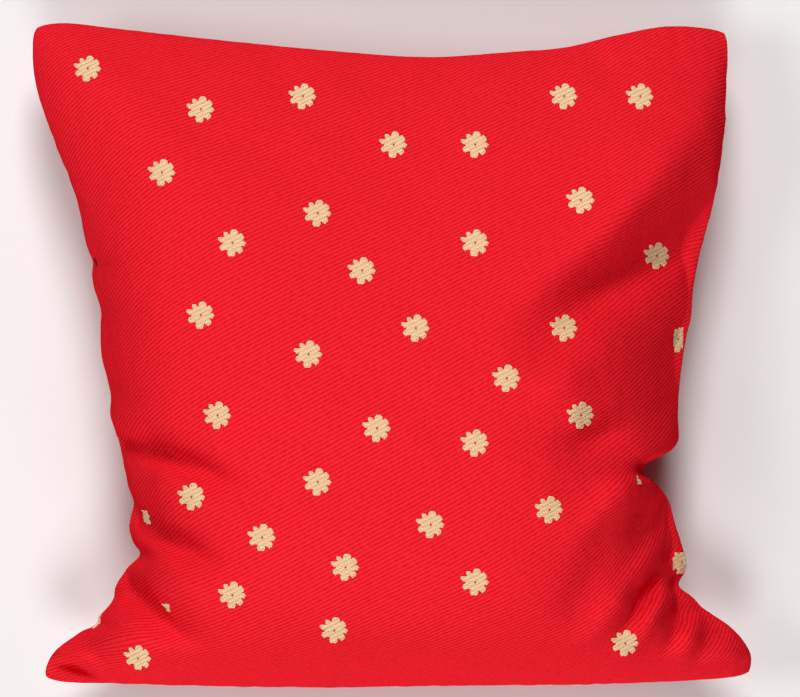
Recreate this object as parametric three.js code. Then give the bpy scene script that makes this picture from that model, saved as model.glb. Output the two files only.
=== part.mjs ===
// A small filled pillow: two square panels of heavy twill, sewn edge to edge and stuffed with wood shavings.
// It lies on its back. The face looks up (+Z), its upper edge points along +Y, and the origin is the middle
// of its footprint on the surface. Sizes are millimetres.
import * as THREE from "three";
import { ParametricGeometry } from "three/addons/geometries/ParametricGeometry.js";
import { mergeGeometries, mergeVertices } from "three/addons/utils/BufferGeometryUtils.js";

// Driving dimensions
const PILLOW_WIDTH = 196; // over its widest corners, filled
const PILLOW_LENGTH = 180; // from the upper corners to the lower seam, filled
const SEAM_HEIGHT = 31; // the seam above the surface, halfway along a side
const FACE_RISE = 42; // crown of the face above the seam
const BACK_DROP = 40; // the back would hang this far below the seam if nothing held it up
const CROWN_LEVEL = 0.41; // the fullest level of the filling, as a share of the length from the lower seam
const CROWN_ACROSS = 0.47; // the fullest place across, as a share of the width from the left seam
const BLUNTNESS = { left: 4.5, right: 4, lower: 5, upper: 2 }; // higher holds the fullness nearer that seam
const EAR_DROOP = 7; // the corners hang this far below the rest of the seam
const CORNER_ROUNDING = 0.017; // share of a half side by which a turned corner pulls in
const CORNER_SHARPNESS = 34; // higher keeps the rounding nearer to the corner
const BACK_SOFTNESS = 3; // height over which the back eases onto the surface
const GRID = 48; // cells along each side of a panel
const EDGE_CROWDING = 0.55; // share by which the cells crowd towards the seams
const FABRIC_COLOUR = 0xd9162b;

const HALF_WIDTH = PILLOW_WIDTH / 2;
const HALF_LENGTH = PILLOW_LENGTH / 2;
const mix = THREE.MathUtils.lerp;

// How far the side seams draw in from the full width, for levels up the face
const SIDE_DRAW_IN = [
  { level: -90, left: 2.2, right: -0.6 },
  { level: -86, left: 3.2, right: -0.5 },
  { level: -80, left: 7.1, right: 1.0 },
  { level: -74, left: 15.2, right: 6.0 },
  { level: -69, left: 20.5, right: 13.0 },
  { level: -63, left: 23.0, right: 17.5 },
  { level: -55, left: 27.4, right: 18.6 },
  { level: -40, left: 27.3, right: 22.6 },
  { level: -25, left: 24.6, right: 21.2 },
  { level: -10, left: 22.0, right: 20.4 },
  { level: 8, left: 19.0, right: 18.1 },
  { level: 25, left: 16.2, right: 15.2 },
  { level: 42, left: 12.7, right: 10.8 },
  { level: 58, left: 6.5, right: 8.2 },
  { level: 72, left: 1.7, right: 7.4 },
  { level: 86, left: 0.0, right: 6.2 },
  { level: 90, left: 0.0, right: 5.8 },
];

// How far the upper and lower seams draw in from the full length, for places across the face
const END_DRAW_IN = [
  { across: -98, upper: 0.0, lower: 0.8 },
  { across: -88, upper: 0.1, lower: 0.8 },
  { across: -76, upper: 1.6, lower: 0.8 },
  { across: -46, upper: 5.1, lower: 0.2 },
  { across: -14, upper: 8.2, lower: 0.0 },
  { across: 10, upper: 9.7, lower: 0.4 },
  { across: 32, upper: 8.3, lower: 0.5 },
  { across: 47, upper: 7.0, lower: 0.6 },
  { across: 60, upper: 3.9, lower: 0.9 },
  { across: 74, upper: 1.2, lower: 1.3 },
  { across: 88, upper: 1.4, lower: 1.8 },
  { across: 98, upper: 1.6, lower: 2.2 },
];

// Gathers in the side seams: out is how far the cloth puffs out there, or is nipped in where it is negative
const GATHERS = [
  { side: "left", level: 25, out: -1.0, spread: 2.6 },
  { side: "left", level: 12, out: -1.0, spread: 4.0 },
  { side: "left", level: -1, out: 0.9, spread: 5.0 },
  { side: "left", level: -17, out: 1.2, spread: 4.0 },
  { side: "left", level: -40, out: -1.0, spread: 2.6 },
  { side: "left", level: -47, out: 0.9, spread: 3.0 },
  { side: "left", level: -54, out: -2.4, spread: 2.4 },
  { side: "left", level: -66, out: -0.8, spread: 2.0 },
  { side: "left", level: -73, out: -1.8, spread: 1.4 },
  { side: "right", level: 10, out: 0.6, spread: 5.0 },
  { side: "right", level: -22, out: 0.7, spread: 3.5 },
  { side: "right", level: -31, out: -9.0, spread: 3.8 },
  { side: "right", level: -36.5, out: -1.6, spread: 2.6 },
  { side: "right", level: -62.5, out: -2.7, spread: 2.6 },
  { side: "right", level: -68, out: -0.5, spread: 1.6 },
];
const GATHER_REACH = 13; // how far into the panel a gather pulls the cloth

// Folds of the face, each on a curve through three points: lift is the height of a ridge or, negative, the
// depth of a trough. A fold fades out towards its last point, or towards both ends where both is true.
const FACE_FOLDS = [
  { name: "upper left ridge", from: [-93, 85], via: [-66, 58], to: [-14, 6], lift: 5, width: 9 },
  { name: "upper right ridge", from: [97, 98], via: [67, 42], to: [4, -8], lift: 9, width: 9, both: true },
  { name: "upper slack", from: [-40, 60], via: [0, 48], to: [44, 60], lift: -2, width: 15, both: true },
  { name: "dent in the upper seam", from: [55, 84], via: [57, 77], to: [60, 68], lift: -2.4, width: 4.4 },
  { name: "trough below it", from: [91, 32], via: [58, 18], to: [22, -6], lift: -10.5, width: 9 },
  { name: "right slack", from: [94, 26], via: [90, 0], to: [88, -30], lift: -13, width: 25, both: true },
  { name: "right swell", from: [54, 0], via: [45, -7], to: [34, -12], lift: 2.4, width: 5.4, both: true },
  { name: "right hollow", from: [72, -16], via: [54, -22], to: [40, -29], lift: -5, width: 6, both: true },
  { name: "ridge into the pinch", from: [72, -30], via: [59, -38], to: [42, -56], lift: 7.5, width: 5.6 },
  { name: "fall below the pinch", from: [78, -40], via: [68, -50], to: [56, -64], lift: -5, width: 7 },
  { name: "lower slack", from: [94, -36], via: [92, -60], to: [96, -84], lift: -13, width: 29, both: true },
  { name: "inner lower ridge", from: [70, -52], via: [61, -64], to: [49, -80], lift: 2.4, width: 4.4 },
  { name: "inner lower trough", from: [74, -56], via: [66, -66], to: [52, -84], lift: -3, width: 4.4 },
  { name: "outer lower ridge", from: [73, -59], via: [71, -69], to: [65, -82], lift: 4.4, width: 4.4 },
  { name: "outer lower trough", from: [80, -64], via: [77, -72], to: [70, -85], lift: -4, width: 4.4 },
  { name: "right corner trough", from: [86, -70], via: [84, -78], to: [79, -86], lift: -2.6, width: 4.4 },
  { name: "left hollow", from: [-92, 56], via: [-80, 4], to: [-76, -22], lift: -5.5, width: 9, both: true },
  { name: "left slack", from: [-84, -24], via: [-80, -46], to: [-84, -68], lift: -6, width: 14, both: true },
  { name: "upper left trough", from: [-78, -24], via: [-56, -28], to: [-33, -40], lift: -8, width: 4.8 },
  { name: "middle left trough", from: [-74, -42], via: [-58, -49], to: [-42, -57], lift: -6.4, width: 4.8 },
  { name: "roll over long fold", from: [-64, -54], via: [-56, -58], to: [-46, -68], lift: 2.4, width: 4.6 },
  { name: "long fold", from: [-78, -60], via: [-62, -69], to: [-46, -81], lift: -7, width: 5 },
  { name: "left corner swell", from: [-74, -74], via: [-64, -80], to: [-52, -86], lift: 2.6, width: 5.4 },
  { name: "left corner trough", from: [-90, -78], via: [-81, -81], to: [-74, -88], lift: -2.4, width: 4.2 },
  { name: "left corner roll", from: [-94, -82], via: [-84, -82], to: [-70, -92], lift: 2.2, width: 4.2 },
];
const FOLD_SAMPLES = 12; // straight steps in which the distance to a fold's curve is found
const FOLD_ROOT = 6; // rise over the seam at which a fold reaches most of its depth

// Folds of the back, which fan out from the nipped sides and the corners
const BACK_FOLDS = [
  { name: "fold from the pinch", from: [68, -31], via: [56, -32], to: [36, -28], lift: 4.0, width: 5 },
  { name: "fold from the left nip", from: [-70, -54], via: [-58, -50], to: [-40, -44], lift: 4.0, width: 5 },
  { name: "fold from the left side", from: [-78, 12], via: [-66, 12], to: [-48, 8], lift: 2.5, width: 5 },
  { name: "fold from the right side", from: [82, 20], via: [68, 16], to: [50, 12], lift: 2.5, width: 5 },
];

// A smooth curve through a table's rows: the value of one column at a place in the key column
function along(table, key, column, place) {
  const last = table.length - 1;
  const at = THREE.MathUtils.clamp(place, table[0][key], table[last][key]);
  let i = 0;
  while (i < last - 1 && table[i + 1][key] < at) i += 1;
  const slope = (k) => {
    const a = table[Math.max(k - 1, 0)];
    const b = table[Math.min(k + 1, last)];
    return (b[column] - a[column]) / (b[key] - a[key]);
  };
  const span = table[i + 1][key] - table[i][key];
  const t = (at - table[i][key]) / span;
  const start = table[i][column] * (1 + 2 * t) + slope(i) * span * t;
  const end = table[i + 1][column] * (3 - 2 * t) - slope(i + 1) * span * (1 - t);
  return start * (1 - t) ** 2 + end * t ** 2;
}

const leftSeam = (level) => -HALF_WIDTH + along(SIDE_DRAW_IN, "level", "left", level);
const rightSeam = (level) => HALF_WIDTH - along(SIDE_DRAW_IN, "level", "right", level);
const upperSeam = (across) => HALF_LENGTH - along(END_DRAW_IN, "across", "upper", across);
const lowerSeam = (across) => -HALF_LENGTH + along(END_DRAW_IN, "across", "lower", across);

// Turned corners of the case, before they are rounded
const CORNERS = {
  lowerLeft: [leftSeam(-HALF_LENGTH), lowerSeam(-HALF_WIDTH)],
  lowerRight: [rightSeam(-HALF_LENGTH), lowerSeam(HALF_WIDTH)],
  upperLeft: [leftSeam(HALF_LENGTH), upperSeam(-HALF_WIDTH)],
  upperRight: [rightSeam(HALF_LENGTH), upperSeam(HALF_WIDTH)],
};

// Cells crowd towards the seams, where the cloth turns fastest
function crowded(s) {
  return s + EDGE_CROWDING * ((1 - Math.cos(Math.PI * s)) / 2 - s);
}

// Where the cloth at share s across and t up the panel lies, seen from above: the four seams blended
function plan(s, t) {
  const round = (a, b) => 0.5 + (a - 0.5) * (1 - CORNER_ROUNDING * Math.abs(2 * b - 1) ** CORNER_SHARPNESS);
  const u = round(s, t);
  const v = round(t, s);
  const { lowerLeft, lowerRight, upperLeft, upperRight } = CORNERS;
  const leftLevel = mix(lowerLeft[1], upperLeft[1], v);
  const rightLevel = mix(lowerRight[1], upperRight[1], v);
  const lowerAcross = mix(lowerLeft[0], lowerRight[0], u);
  const upperAcross = mix(upperLeft[0], upperRight[0], u);
  const x =
    mix(lowerAcross, upperAcross, v) +
    mix(leftSeam(leftLevel), rightSeam(rightLevel), u) -
    mix(mix(lowerLeft[0], lowerRight[0], u), mix(upperLeft[0], upperRight[0], u), v);
  const y =
    mix(lowerSeam(lowerAcross), upperSeam(upperAcross), v) +
    mix(leftLevel, rightLevel, u) -
    mix(mix(lowerLeft[1], lowerRight[1], u), mix(upperLeft[1], upperRight[1], u), v);
  let gathered = x;
  for (const gather of GATHERS) {
    const outward = gather.side === "left" ? -1 : 1;
    const depth = (gather.side === "left" ? u : 1 - u) * PILLOW_WIDTH;
    const pull = Math.exp(-(((y - gather.level) / gather.spread) ** 2) - depth / GATHER_REACH);
    gathered += outward * gather.out * pull;
  }
  return [gathered, y];
}

// How full the pillow is: 0 at the seams and 1 at the crown. It is blunt at the sides and towards the lower
// seam, where the filling has settled, and slopes evenly up to the upper seam.
function fullness(s, t) {
  const aside = s < CROWN_ACROSS ? 1 - s / CROWN_ACROSS : (s - CROWN_ACROSS) / (1 - CROWN_ACROSS);
  const side = Math.max(1 - aside ** (s < CROWN_ACROSS ? BLUNTNESS.left : BLUNTNESS.right), 0) ** 0.74;
  const below = t < CROWN_LEVEL;
  const way = below ? 1 - t / CROWN_LEVEL : (t - CROWN_LEVEL) / (1 - CROWN_LEVEL);
  const end = Math.max(1 - way ** (below ? BLUNTNESS.lower : BLUNTNESS.upper), 0) ** 0.9;
  return side * end;
}

function seamHeight(s, t) {
  return SEAM_HEIGHT - EAR_DROOP * Math.abs((2 * s - 1) * (2 * t - 1)) ** 3;
}

// The curve of a fold, as points
function foldCurve(fold) {
  const [a, m, b] = [fold.from, fold.via, fold.to].map(([x, y]) => new THREE.Vector2(x, y));
  const control = m.clone().multiplyScalar(2).addScaledVector(a, -0.5).addScaledVector(b, -0.5);
  return new THREE.QuadraticBezierCurve(a, control, b).getPoints(FOLD_SAMPLES);
}

// How near a curve passes to a place, and at what share of its length
function nearestOn(curve, place) {
  let [nearest, share] = [Infinity, 0];
  for (let i = 0; i < curve.length - 1; i += 1) {
    const step = curve[i + 1].clone().sub(curve[i]);
    const away = place.clone().sub(curve[i]);
    const part = THREE.MathUtils.clamp(away.dot(step) / step.lengthSq(), 0, 1);
    const distance = away.addScaledVector(step, -part).length();
    if (distance < nearest) [nearest, share] = [distance, (i + part) / (curve.length - 1)];
  }
  return [nearest, share];
}

// The sum of the folds at a place on the panel
function foldLift(folds, x, y) {
  const place = new THREE.Vector2(x, y);
  return folds.reduce((sum, fold) => {
    const [nearest, share] = nearestOn(fold.curve, place);
    const strength = fold.both ? Math.sin(Math.PI * share) ** 2 : (1 - share ** 3) ** 2;
    return sum + fold.lift * strength * Math.exp(-((nearest / fold.width) ** 2));
  }, 0);
}

const faceFolds = FACE_FOLDS.map((fold) => ({ ...fold, curve: foldCurve(fold) }));
const backFolds = BACK_FOLDS.map((fold) => ({ ...fold, curve: foldCurve(fold) }));

function facePoint(u, v, target) {
  const [s, t] = [crowded(u), crowded(v)];
  const [x, y] = plan(s, t);
  const rise = FACE_RISE * fullness(s, t);
  const folded = foldLift(faceFolds, x, y) * (1 - Math.exp(-rise / FOLD_ROOT));
  target.set(x, y, seamHeight(s, t) + Math.max(rise + folded, rise * 0.2));
}

// The surface holds the back up: heights below it end at exactly 0, eased in over the back's softness
function restingHeight(height) {
  if (Math.abs(height) > BACK_SOFTNESS) return Math.max(height, 0);
  return (height + BACK_SOFTNESS) ** 2 / (4 * BACK_SOFTNESS);
}

function backPoint(u, v, target) {
  const [s, t] = [crowded(u), crowded(v)];
  const [x, y] = plan(s, t);
  const drop = BACK_DROP * fullness(s, t);
  const folded = foldLift(backFolds, x, y) * (1 - Math.exp(-drop / FOLD_ROOT));
  const height = seamHeight(s, t) - Math.max(drop - folded, drop * 0.2);
  target.set(x, y, restingHeight(height));
}

// One panel as a grid of triangles. Every cell is cut towards its nearest corner of the case, so that no
// triangle lies wholly in the seam.
function panel(pointAt, facesUp) {
  const geometry = new ParametricGeometry(pointAt, GRID, GRID);
  const index = [];
  for (let row = 0; row < GRID; row += 1) {
    for (let column = 0; column < GRID; column += 1) {
      const a = row * (GRID + 1) + column;
      const [b, c, d] = [a + 1, a + GRID + 2, a + GRID + 1];
      const rising = row < GRID / 2 === column < GRID / 2;
      const cell = rising ? [a, b, c, a, c, d] : [a, b, d, b, c, d];
      index.push(...(facesUp ? cell : cell.reverse()));
    }
  }
  geometry.setIndex(index);
  geometry.deleteAttribute("normal");
  geometry.deleteAttribute("uv");
  return geometry;
}

// The filled case as one closed body: face and back joined at the seam
function filledCase() {
  const body = mergeVertices(mergeGeometries([panel(facePoint, true), panel(backPoint, false)]), 1e-4);
  body.computeBoundingBox();
  const middle = body.boundingBox.getCenter(new THREE.Vector3());
  body.translate(-middle.x, -middle.y, -body.boundingBox.min.z);
  body.computeVertexNormals();
  return body;
}

const twill = new THREE.MeshStandardMaterial({ color: FABRIC_COLOUR, roughness: 0.85, metalness: 0 });
const pillow = new THREE.Mesh(filledCase(), twill);
pillow.name = "pillow";

const object = new THREE.Group();
object.add(pillow);

export default object;
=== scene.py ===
# A small pillow of red twill, filled with wood shavings: its sewn cover, the flowers woven into it, two
# stitches that show where the seam gapes, and a plain stage.
# The tables are in millimetres, seen from above: across to the right of the face, level towards its upper
# seam. Everything that reaches Blender is in metres.
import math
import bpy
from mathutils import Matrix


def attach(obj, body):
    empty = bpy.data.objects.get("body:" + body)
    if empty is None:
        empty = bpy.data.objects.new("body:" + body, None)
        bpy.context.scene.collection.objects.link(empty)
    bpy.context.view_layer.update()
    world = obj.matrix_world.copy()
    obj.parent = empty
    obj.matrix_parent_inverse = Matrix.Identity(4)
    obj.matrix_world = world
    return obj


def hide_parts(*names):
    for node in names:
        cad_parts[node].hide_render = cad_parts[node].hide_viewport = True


bl_info = {
    "name": "Stone Pine Pillow",
    "version": (1, 0, 0),
    "blender": (4, 5, 0),
    "location": "3D View > Sidebar > Pillow",
    "description": "A filled twill pillow with woven flowers, on a plain stage",
    "category": "Object",
}

import bpy
import numpy as np
from bpy.props import FloatProperty, FloatVectorProperty, IntProperty, PointerProperty
from mathutils import Vector

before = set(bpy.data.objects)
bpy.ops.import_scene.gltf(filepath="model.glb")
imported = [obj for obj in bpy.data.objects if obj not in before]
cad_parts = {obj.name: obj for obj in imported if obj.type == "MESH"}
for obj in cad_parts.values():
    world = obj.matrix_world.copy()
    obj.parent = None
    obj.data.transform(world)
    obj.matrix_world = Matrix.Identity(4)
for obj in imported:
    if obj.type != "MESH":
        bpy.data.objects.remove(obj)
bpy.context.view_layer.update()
MM = 0.001


def table(columns, *rows):
    """A table of numbers from the names of its columns and its rows."""
    return np.array(list(rows), dtype=[(name, float) for name in columns.split()])


# The outline: how far the side seams draw in from the full width, for levels up the face
SIDE_DRAW_IN = table(
    "place left right",
    (-90, 2.2, -0.6), (-86, 3.2, -0.5), (-80, 7.1, 1), (-74, 15.2, 6), (-69, 20.5, 13),
    (-63, 23, 17.5), (-55, 27.4, 18.6), (-40, 27.3, 22.6), (-25, 24.6, 21.2), (-10, 22, 20.4),
    (8, 19, 18.1), (25, 16.2, 15.2), (42, 12.7, 10.8), (58, 6.5, 8.2), (72, 1.7, 7.4), (86, 0, 6.2),
    (90, 0, 5.8),
)  # fmt: skip

# How far the upper and lower seams draw in from the full length, for places across the face
END_DRAW_IN = table(
    "place upper lower",
    (-98, 0, 0.8), (-88, 0.1, 0.8), (-76, 1.6, 0.8), (-46, 5.1, 0.2), (-14, 8.2, 0), (10, 9.7, 0.4),
    (32, 8.3, 0.5), (47, 7, 0.6), (60, 3.9, 0.9), (74, 1.2, 1.3), (88, 1.4, 1.8), (98, 1.6, 2.2),
)  # fmt: skip

# Gathers in the side seams: side is -1 for the left and 1 for the right, and out is how far the cloth puffs
# out there, or is nipped in where it is negative
GATHERS = table(
    "side level out spread",
    (-1, 25, -1, 2.6), (-1, 12, -1, 4), (-1, -1, 0.9, 5), (-1, -17, 1.2, 4), (-1, -40, -1, 2.6),
    (-1, -47, 0.9, 3), (-1, -54, -2.4, 2.4), (-1, -66, -0.8, 2), (-1, -73, -1.8, 1.4),
    (1, 10, 0.6, 5), (1, -22, 0.7, 3.5), (1, -31, -9, 3.8), (1, -36.5, -1.6, 2.6),
    (1, -62.5, -2.7, 2.6), (1, -68, -0.5, 1.6),
)  # fmt: skip
GATHER_REACH = 13  # way in from the seam over which a gather dies away
CORNER_PULL, CORNER_SHARPNESS = 0.017, 34  # how far the corners are pulled in, and how near to them
CORNER_DROOP = 7  # how far the seam comes down at a corner

# Folds, each on a curve through three points, (x0, y0), (x1, y1) and (x2, y2). lift is the height of a ridge
# or, negative, the depth of a trough. It fades towards the last point, or towards both ends if both is 1.
FOLD_COLUMNS = "x0 y0 x1 y1 x2 y2 lift width both"
FACE_FOLDS = table(
    FOLD_COLUMNS,
    (-93, 85, -66, 58, -14, 6, 5, 9, 0),  # ridge to the upper left corner
    (97, 98, 67, 42, 4, -8, 9, 9, 1),  # ridge to the upper right corner
    (-40, 60, 0, 48, 44, 60, -2, 15, 1),  # slack above the crown
    (55, 84, 57, 77, 60, 68, -2.4, 4, 0),  # dent in the upper seam
    (91, 32, 58, 18, 22, -6, -10.5, 9, 0),  # trough below the right ridge
    (94, 26, 90, 0, 88, -30, -13, 25, 1),  # slack of the right side
    (54, 0, 45, -7, 34, -12, 2.4, 5, 1),  # swell beside it
    (72, -16, 54, -22, 40, -29, -5, 6, 1),  # hollow over the right pinch
    (72, -30, 59, -38, 42, -56, 8, 5, 0),  # ridge into the right pinch
    (78, -40, 68, -50, 56, -64, -5, 7, 0),  # fall below the right pinch
    (94, -36, 92, -60, 96, -84, -13, 29, 1),  # slack of the lower right side
    (70, -52, 61, -64, 49, -80, 3, 3.2, 0),  # lower right ridges, each with a trough beside it
    (74, -56, 66, -66, 52, -84, -3.6, 3.2, 0),
    (73, -59, 71, -69, 65, -82, 5.6, 3.4, 0),
    (80, -64, 77, -72, 70, -85, -5, 3.2, 0),
    (82, -70, 80, -76, 77, -83, 1.6, 2.8, 0),  # right corner ridge and trough
    (86, -70, 84, -78, 79, -86, -3.4, 3, 0),
    (-92, 56, -80, 4, -76, -22, -5.5, 9, 1),  # hollow of the left side
    (-84, -24, -80, -46, -84, -68, -6, 14, 1),  # slack of the lower left side
    (-78, -24, -56, -28, -33, -40, -8, 4.6, 0),  # upper left trough
    (-60, -34, -54, -37, -47, -41, 1.4, 3.6, 0),  # ridge under it
    (-74, -42, -58, -49, -42, -57, -6.4, 4.6, 0),  # middle left trough
    (-64, -54, -56, -58, -46, -68, 2.4, 4, 0),  # roll over the long fold
    (-78, -60, -62, -69, -46, -81, -8, 4.2, 0),  # long left fold
    (-74, -74, -64, -80, -52, -86, 2.7, 5, 0),  # swell of the left corner
    (-90, -78, -81, -81, -74, -88, -2.8, 3, 0),  # corner roll and the trough above it
    (-94, -82, -84, -82, -70, -92, 2.8, 3, 0),
)
FACE_CREASES = table(
    FOLD_COLUMNS,
    (-34, 80, -28, 71, -20, 54, -0.9, 5, 0),  # line under the upper seam
    (82.5, 28, 80.5, 21, 79, 8, -1.6, 2, 0),  # pleat beside the right seam
    (-81, 25, -76, 23, -70, 21, -1.3, 2.2, 0),  # nips of the left side
    (-79, 11, -74, 10, -67, 9, -1, 2.4, 0),
    (-76, -10, -71, -11, -64, -13, -0.9, 2.4, 0),
    (-76, -22, -54, -28, -24, -46, -3, 3.4, 0),  # creases in the left troughs
    (-72, -42, -56, -50, -34, -60, -3.4, 3.2, 0),
    (-78, -58, -62, -67, -42, -82, -4, 3, 0),
    (84, 42, 60, 25, 26, 2, -6, 6, 0),  # foot of the right ridge
    (94, 88, 90, 58, 86, 30, 5, 9, 1),  # fullness of the upper right edge
    (62, -40, 53, -58, 42, -80, -3, 5.5, 1),  # slack beside the lower right folds
    (72, -34, 66, -42, 60, -52, -2.4, 2.4, 0),  # crease below the right pinch
    (76, -57, 66, -67, 54, -81, -1.8, 2, 0),
    (79, -64, 76, -72, 71, -82, -1.8, 2, 0),
    (73, -70, 69, -77, 66, -84, -1.8, 2.2, 0),
    (91, -72, 88, -77, 86, -84, -1.6, 2.2, 0),
)
# Folds of the thin lower left corner, in which both panels bend together
CORNER_FOLDS = table(
    FOLD_COLUMNS,
    (-95, -83, -86, -80.6, -73, -90, 3.8, 2.6, 0),  # lip that rolls over
    (-94, -84, -84, -84.6, -72, -90.5, -5.4, 1.6, 1),  # crease under it
)
BACK_FOLDS = table(
    FOLD_COLUMNS,
    (68, -31, 56, -32, 36, -28, 4, 5, 0),  # from the right pinch
    (-70, -54, -58, -50, -40, -44, 4, 5, 0),  # from the left nip
    (-78, 12, -66, 12, -48, 8, 2.5, 5, 0),  # from the left side
    (82, 20, 68, 16, 50, 12, 2.5, 5, 0),  # from the right side
)
FOLD_ROOT = 6  # rise over the seam at which a fold reaches most of its depth
LEAST_RISE = 0.2  # share of the rise that is left under the deepest fold

# Petals of a woven flower: where each points, how far it reaches beside the flower's radius, half its width
# as an angle, and how blunt its end is
PETALS = table(
    "turn reach half_width bluntness",
    (-3, 1.04, 19, 1.2), (35, 0.97, 21, 3.5), (81, 1.00, 25, 3), (128, 1.06, 17, 1.3),
    (163, 1.18, 18, 1.1), (206, 1.02, 20, 2.4), (264, 1.04, 25, 2.8), (316, 0.98, 20, 3),
)  # fmt: skip

# How a flower or a stitch is laid on: how near its middle may come to the seam, and how many times as long
# it may become down a slope, as the cloth gives
WHOLE, PARTLY_HIDDEN, SEWN = (4.4, 2.2), (2, 1), (1.5, 1)

# Places of the woven flowers, as they are seen from straight above: across, level
FACE_FLOWERS = [
    (-82, 77), (-51.5, 66), (-24, 69.5), (0.5, 56.5), (22.5, 56.5), (46.5, 69.5), (67, 69.5), (-62, 49),
    (-20, 38), (-43, 30), (-8, 22.5), (22.5, 30), (51, 41.5), (71.5, 26.5), (-51.5, 10.5), (-22.5, 0),
    (6.5, 7), (46.5, 7), (31, -6.5), (-47, -16.5), (-4, -20), (22.5, -24), (51, -16.5), (-54, -38.5),
    (-20, -34.5), (10.5, -46), (42.5, -42), (-35, -49.5), (-12.5, -57.5), (-43, -65), (22.5, -61.5),
    (-15.5, -74.5), (-68.5, -82), (63, -78),
]  # fmt: skip
# Flowers that a fold or a seam partly hides: their middle, and between which places they stay in sight
HIDDEN_FLOWERS = table(
    "across level left right lower upper",
    (77.2, 4, 75.6, 78.6, 0.4, 7.2), (78.2, -56.2, 75.6, 81, -59.4, -53.4),
    (-66.6, -43.4, -67.8, -64.4, -45.8, -41.8), (66.2, -34.6, 64.6, 68, -34.4, -31.8),
    (-79.6, -72.2, -80.8, -78, -74.8, -70.4), (-60, -68.6, -61.2, -58.6, -68.4, -66),
)  # fmt: skip
BACK_FLOWERS = [
    (-70, 70), (-44, 62), (-16, 66), (14, 62), (44, 66), (74, 72), (-58, 40), (-30, 34), (-2, 40),
    (26, 30), (56, 40), (-66, 12), (-40, 4), (-14, 12), (12, 2), (40, 8), (66, 14), (-54, -20),
    (-26, -24), (2, -16), (30, -24), (56, -18), (-60, -56), (-36, -48), (-8, -50), (20, -50),
    (48, -54), (-76, -80), (-22, -74), (8, -78), (38, -78), (72, -80),
]  # fmt: skip

# Stitches that show where the seam gapes: the middle of each, the way it runs and its length
STITCHES = table("across level turn length", (-79.7, 24.8, -37, 3.3), (-65.2, -44.6, 81, 1.9))


def linear(hex_colour):
    """A colour given as sRGB hex, such as d9162b, as linear red, green, blue and 1."""
    values = np.array([int(hex_colour[i : i + 2], 16) for i in (0, 2, 4)]) / 255
    values = np.where(values <= 0.04045, values / 12.92, ((values + 0.055) / 1.055) ** 2.4)
    return (*values.tolist(), 1.0)


def feed(node, inputs):
    """Give a node's inputs, by name or number, their values, or the outputs that feed them."""
    for key, value in inputs.items():
        if isinstance(value, bpy.types.NodeSocket):
            node.id_data.links.new(value, node.inputs[key])
        else:
            node.inputs[key].default_value = value


def add_node(tree, kind, inputs=None, **settings):
    """Add a node with its settings, its inputs fed as above."""
    made = tree.nodes.new(kind)
    for name, value in settings.items():
        setattr(made, name, value)
    feed(made, inputs or {})
    return made


def along(seams, column, place):
    """One column of a table at places along its first column: the cubic through the neighbouring rows whose
    slope at each row is that of the chord from the row before to the row after."""
    keys, values = seams["place"], seams[column]
    place = np.clip(place, keys[0], keys[-1])
    row = np.clip(np.searchsorted(keys, place) - 1, 0, len(keys) - 2)
    ends = np.arange(len(keys))
    before, after = np.maximum(ends - 1, 0), np.minimum(ends + 1, len(keys) - 1)
    slope = (values[after] - values[before]) / (keys[after] - keys[before])
    span = keys[row + 1] - keys[row]
    t = (place - keys[row]) / span
    start = values[row] * (1 + 2 * t) + slope[row] * span * t
    end = values[row + 1] * (3 - 2 * t) - slope[row + 1] * span * (1 - t)
    return start * (1 - t) ** 2 + end * t**2


def crowded(count, crowding=0.75):
    """Shares from 0 to 1 for the lines of a panel's grid, which crowd towards both seams: part even steps,
    part the steps of half a cosine wave."""
    even = np.linspace(0, 1, count + 1)
    return even + crowding * ((1 - np.cos(np.pi * even)) / 2 - even)


def seen_from_above(s, t, sizes):
    """Across and level of the cloth at share s across and t up a panel: between the left and the right seam
    and between the lower and the upper, which makes a Coons patch. The corners are pulled in a little, and a
    gather adds out * exp(-((y - level) / spread)^2 - depth / GATHER_REACH), depth being from its seam."""
    half_width, half_length = sizes.width / 2 / MM, sizes.length / 2 / MM

    def left(level):
        return along(SIDE_DRAW_IN, "left", level) - half_width

    def right(level):
        return half_width - along(SIDE_DRAW_IN, "right", level)

    def upper(across):
        return half_length - along(END_DRAW_IN, "upper", across)

    def lower(across):
        return along(END_DRAW_IN, "lower", across) - half_length

    def rounded(a, b):
        return 0.5 + (a - 0.5) * (1 - CORNER_PULL * np.abs(2 * b - 1) ** CORNER_SHARPNESS)

    def mix(a, b, share):
        return a + (b - a) * share

    u, v = rounded(s, t), rounded(t, s)
    left_level = mix(lower(-half_width), upper(-half_width), v)
    right_level = mix(lower(half_width), upper(half_width), v)
    lower_across = mix(left(-half_length), right(-half_length), u)
    upper_across = mix(left(half_length), right(half_length), u)
    x = mix(left(left_level), right(right_level), u)
    y = mix(lower(lower_across), upper(upper_across), v)
    pull = np.zeros_like(x)
    for gather in GATHERS:
        depth = np.where(gather["side"] < 0, u, 1 - u) * 2 * half_width
        bell = np.exp(-(((y - gather["level"]) / gather["spread"]) ** 2) - depth / GATHER_REACH)
        pull += gather["side"] * gather["out"] * bell
    return x + pull, y


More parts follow.
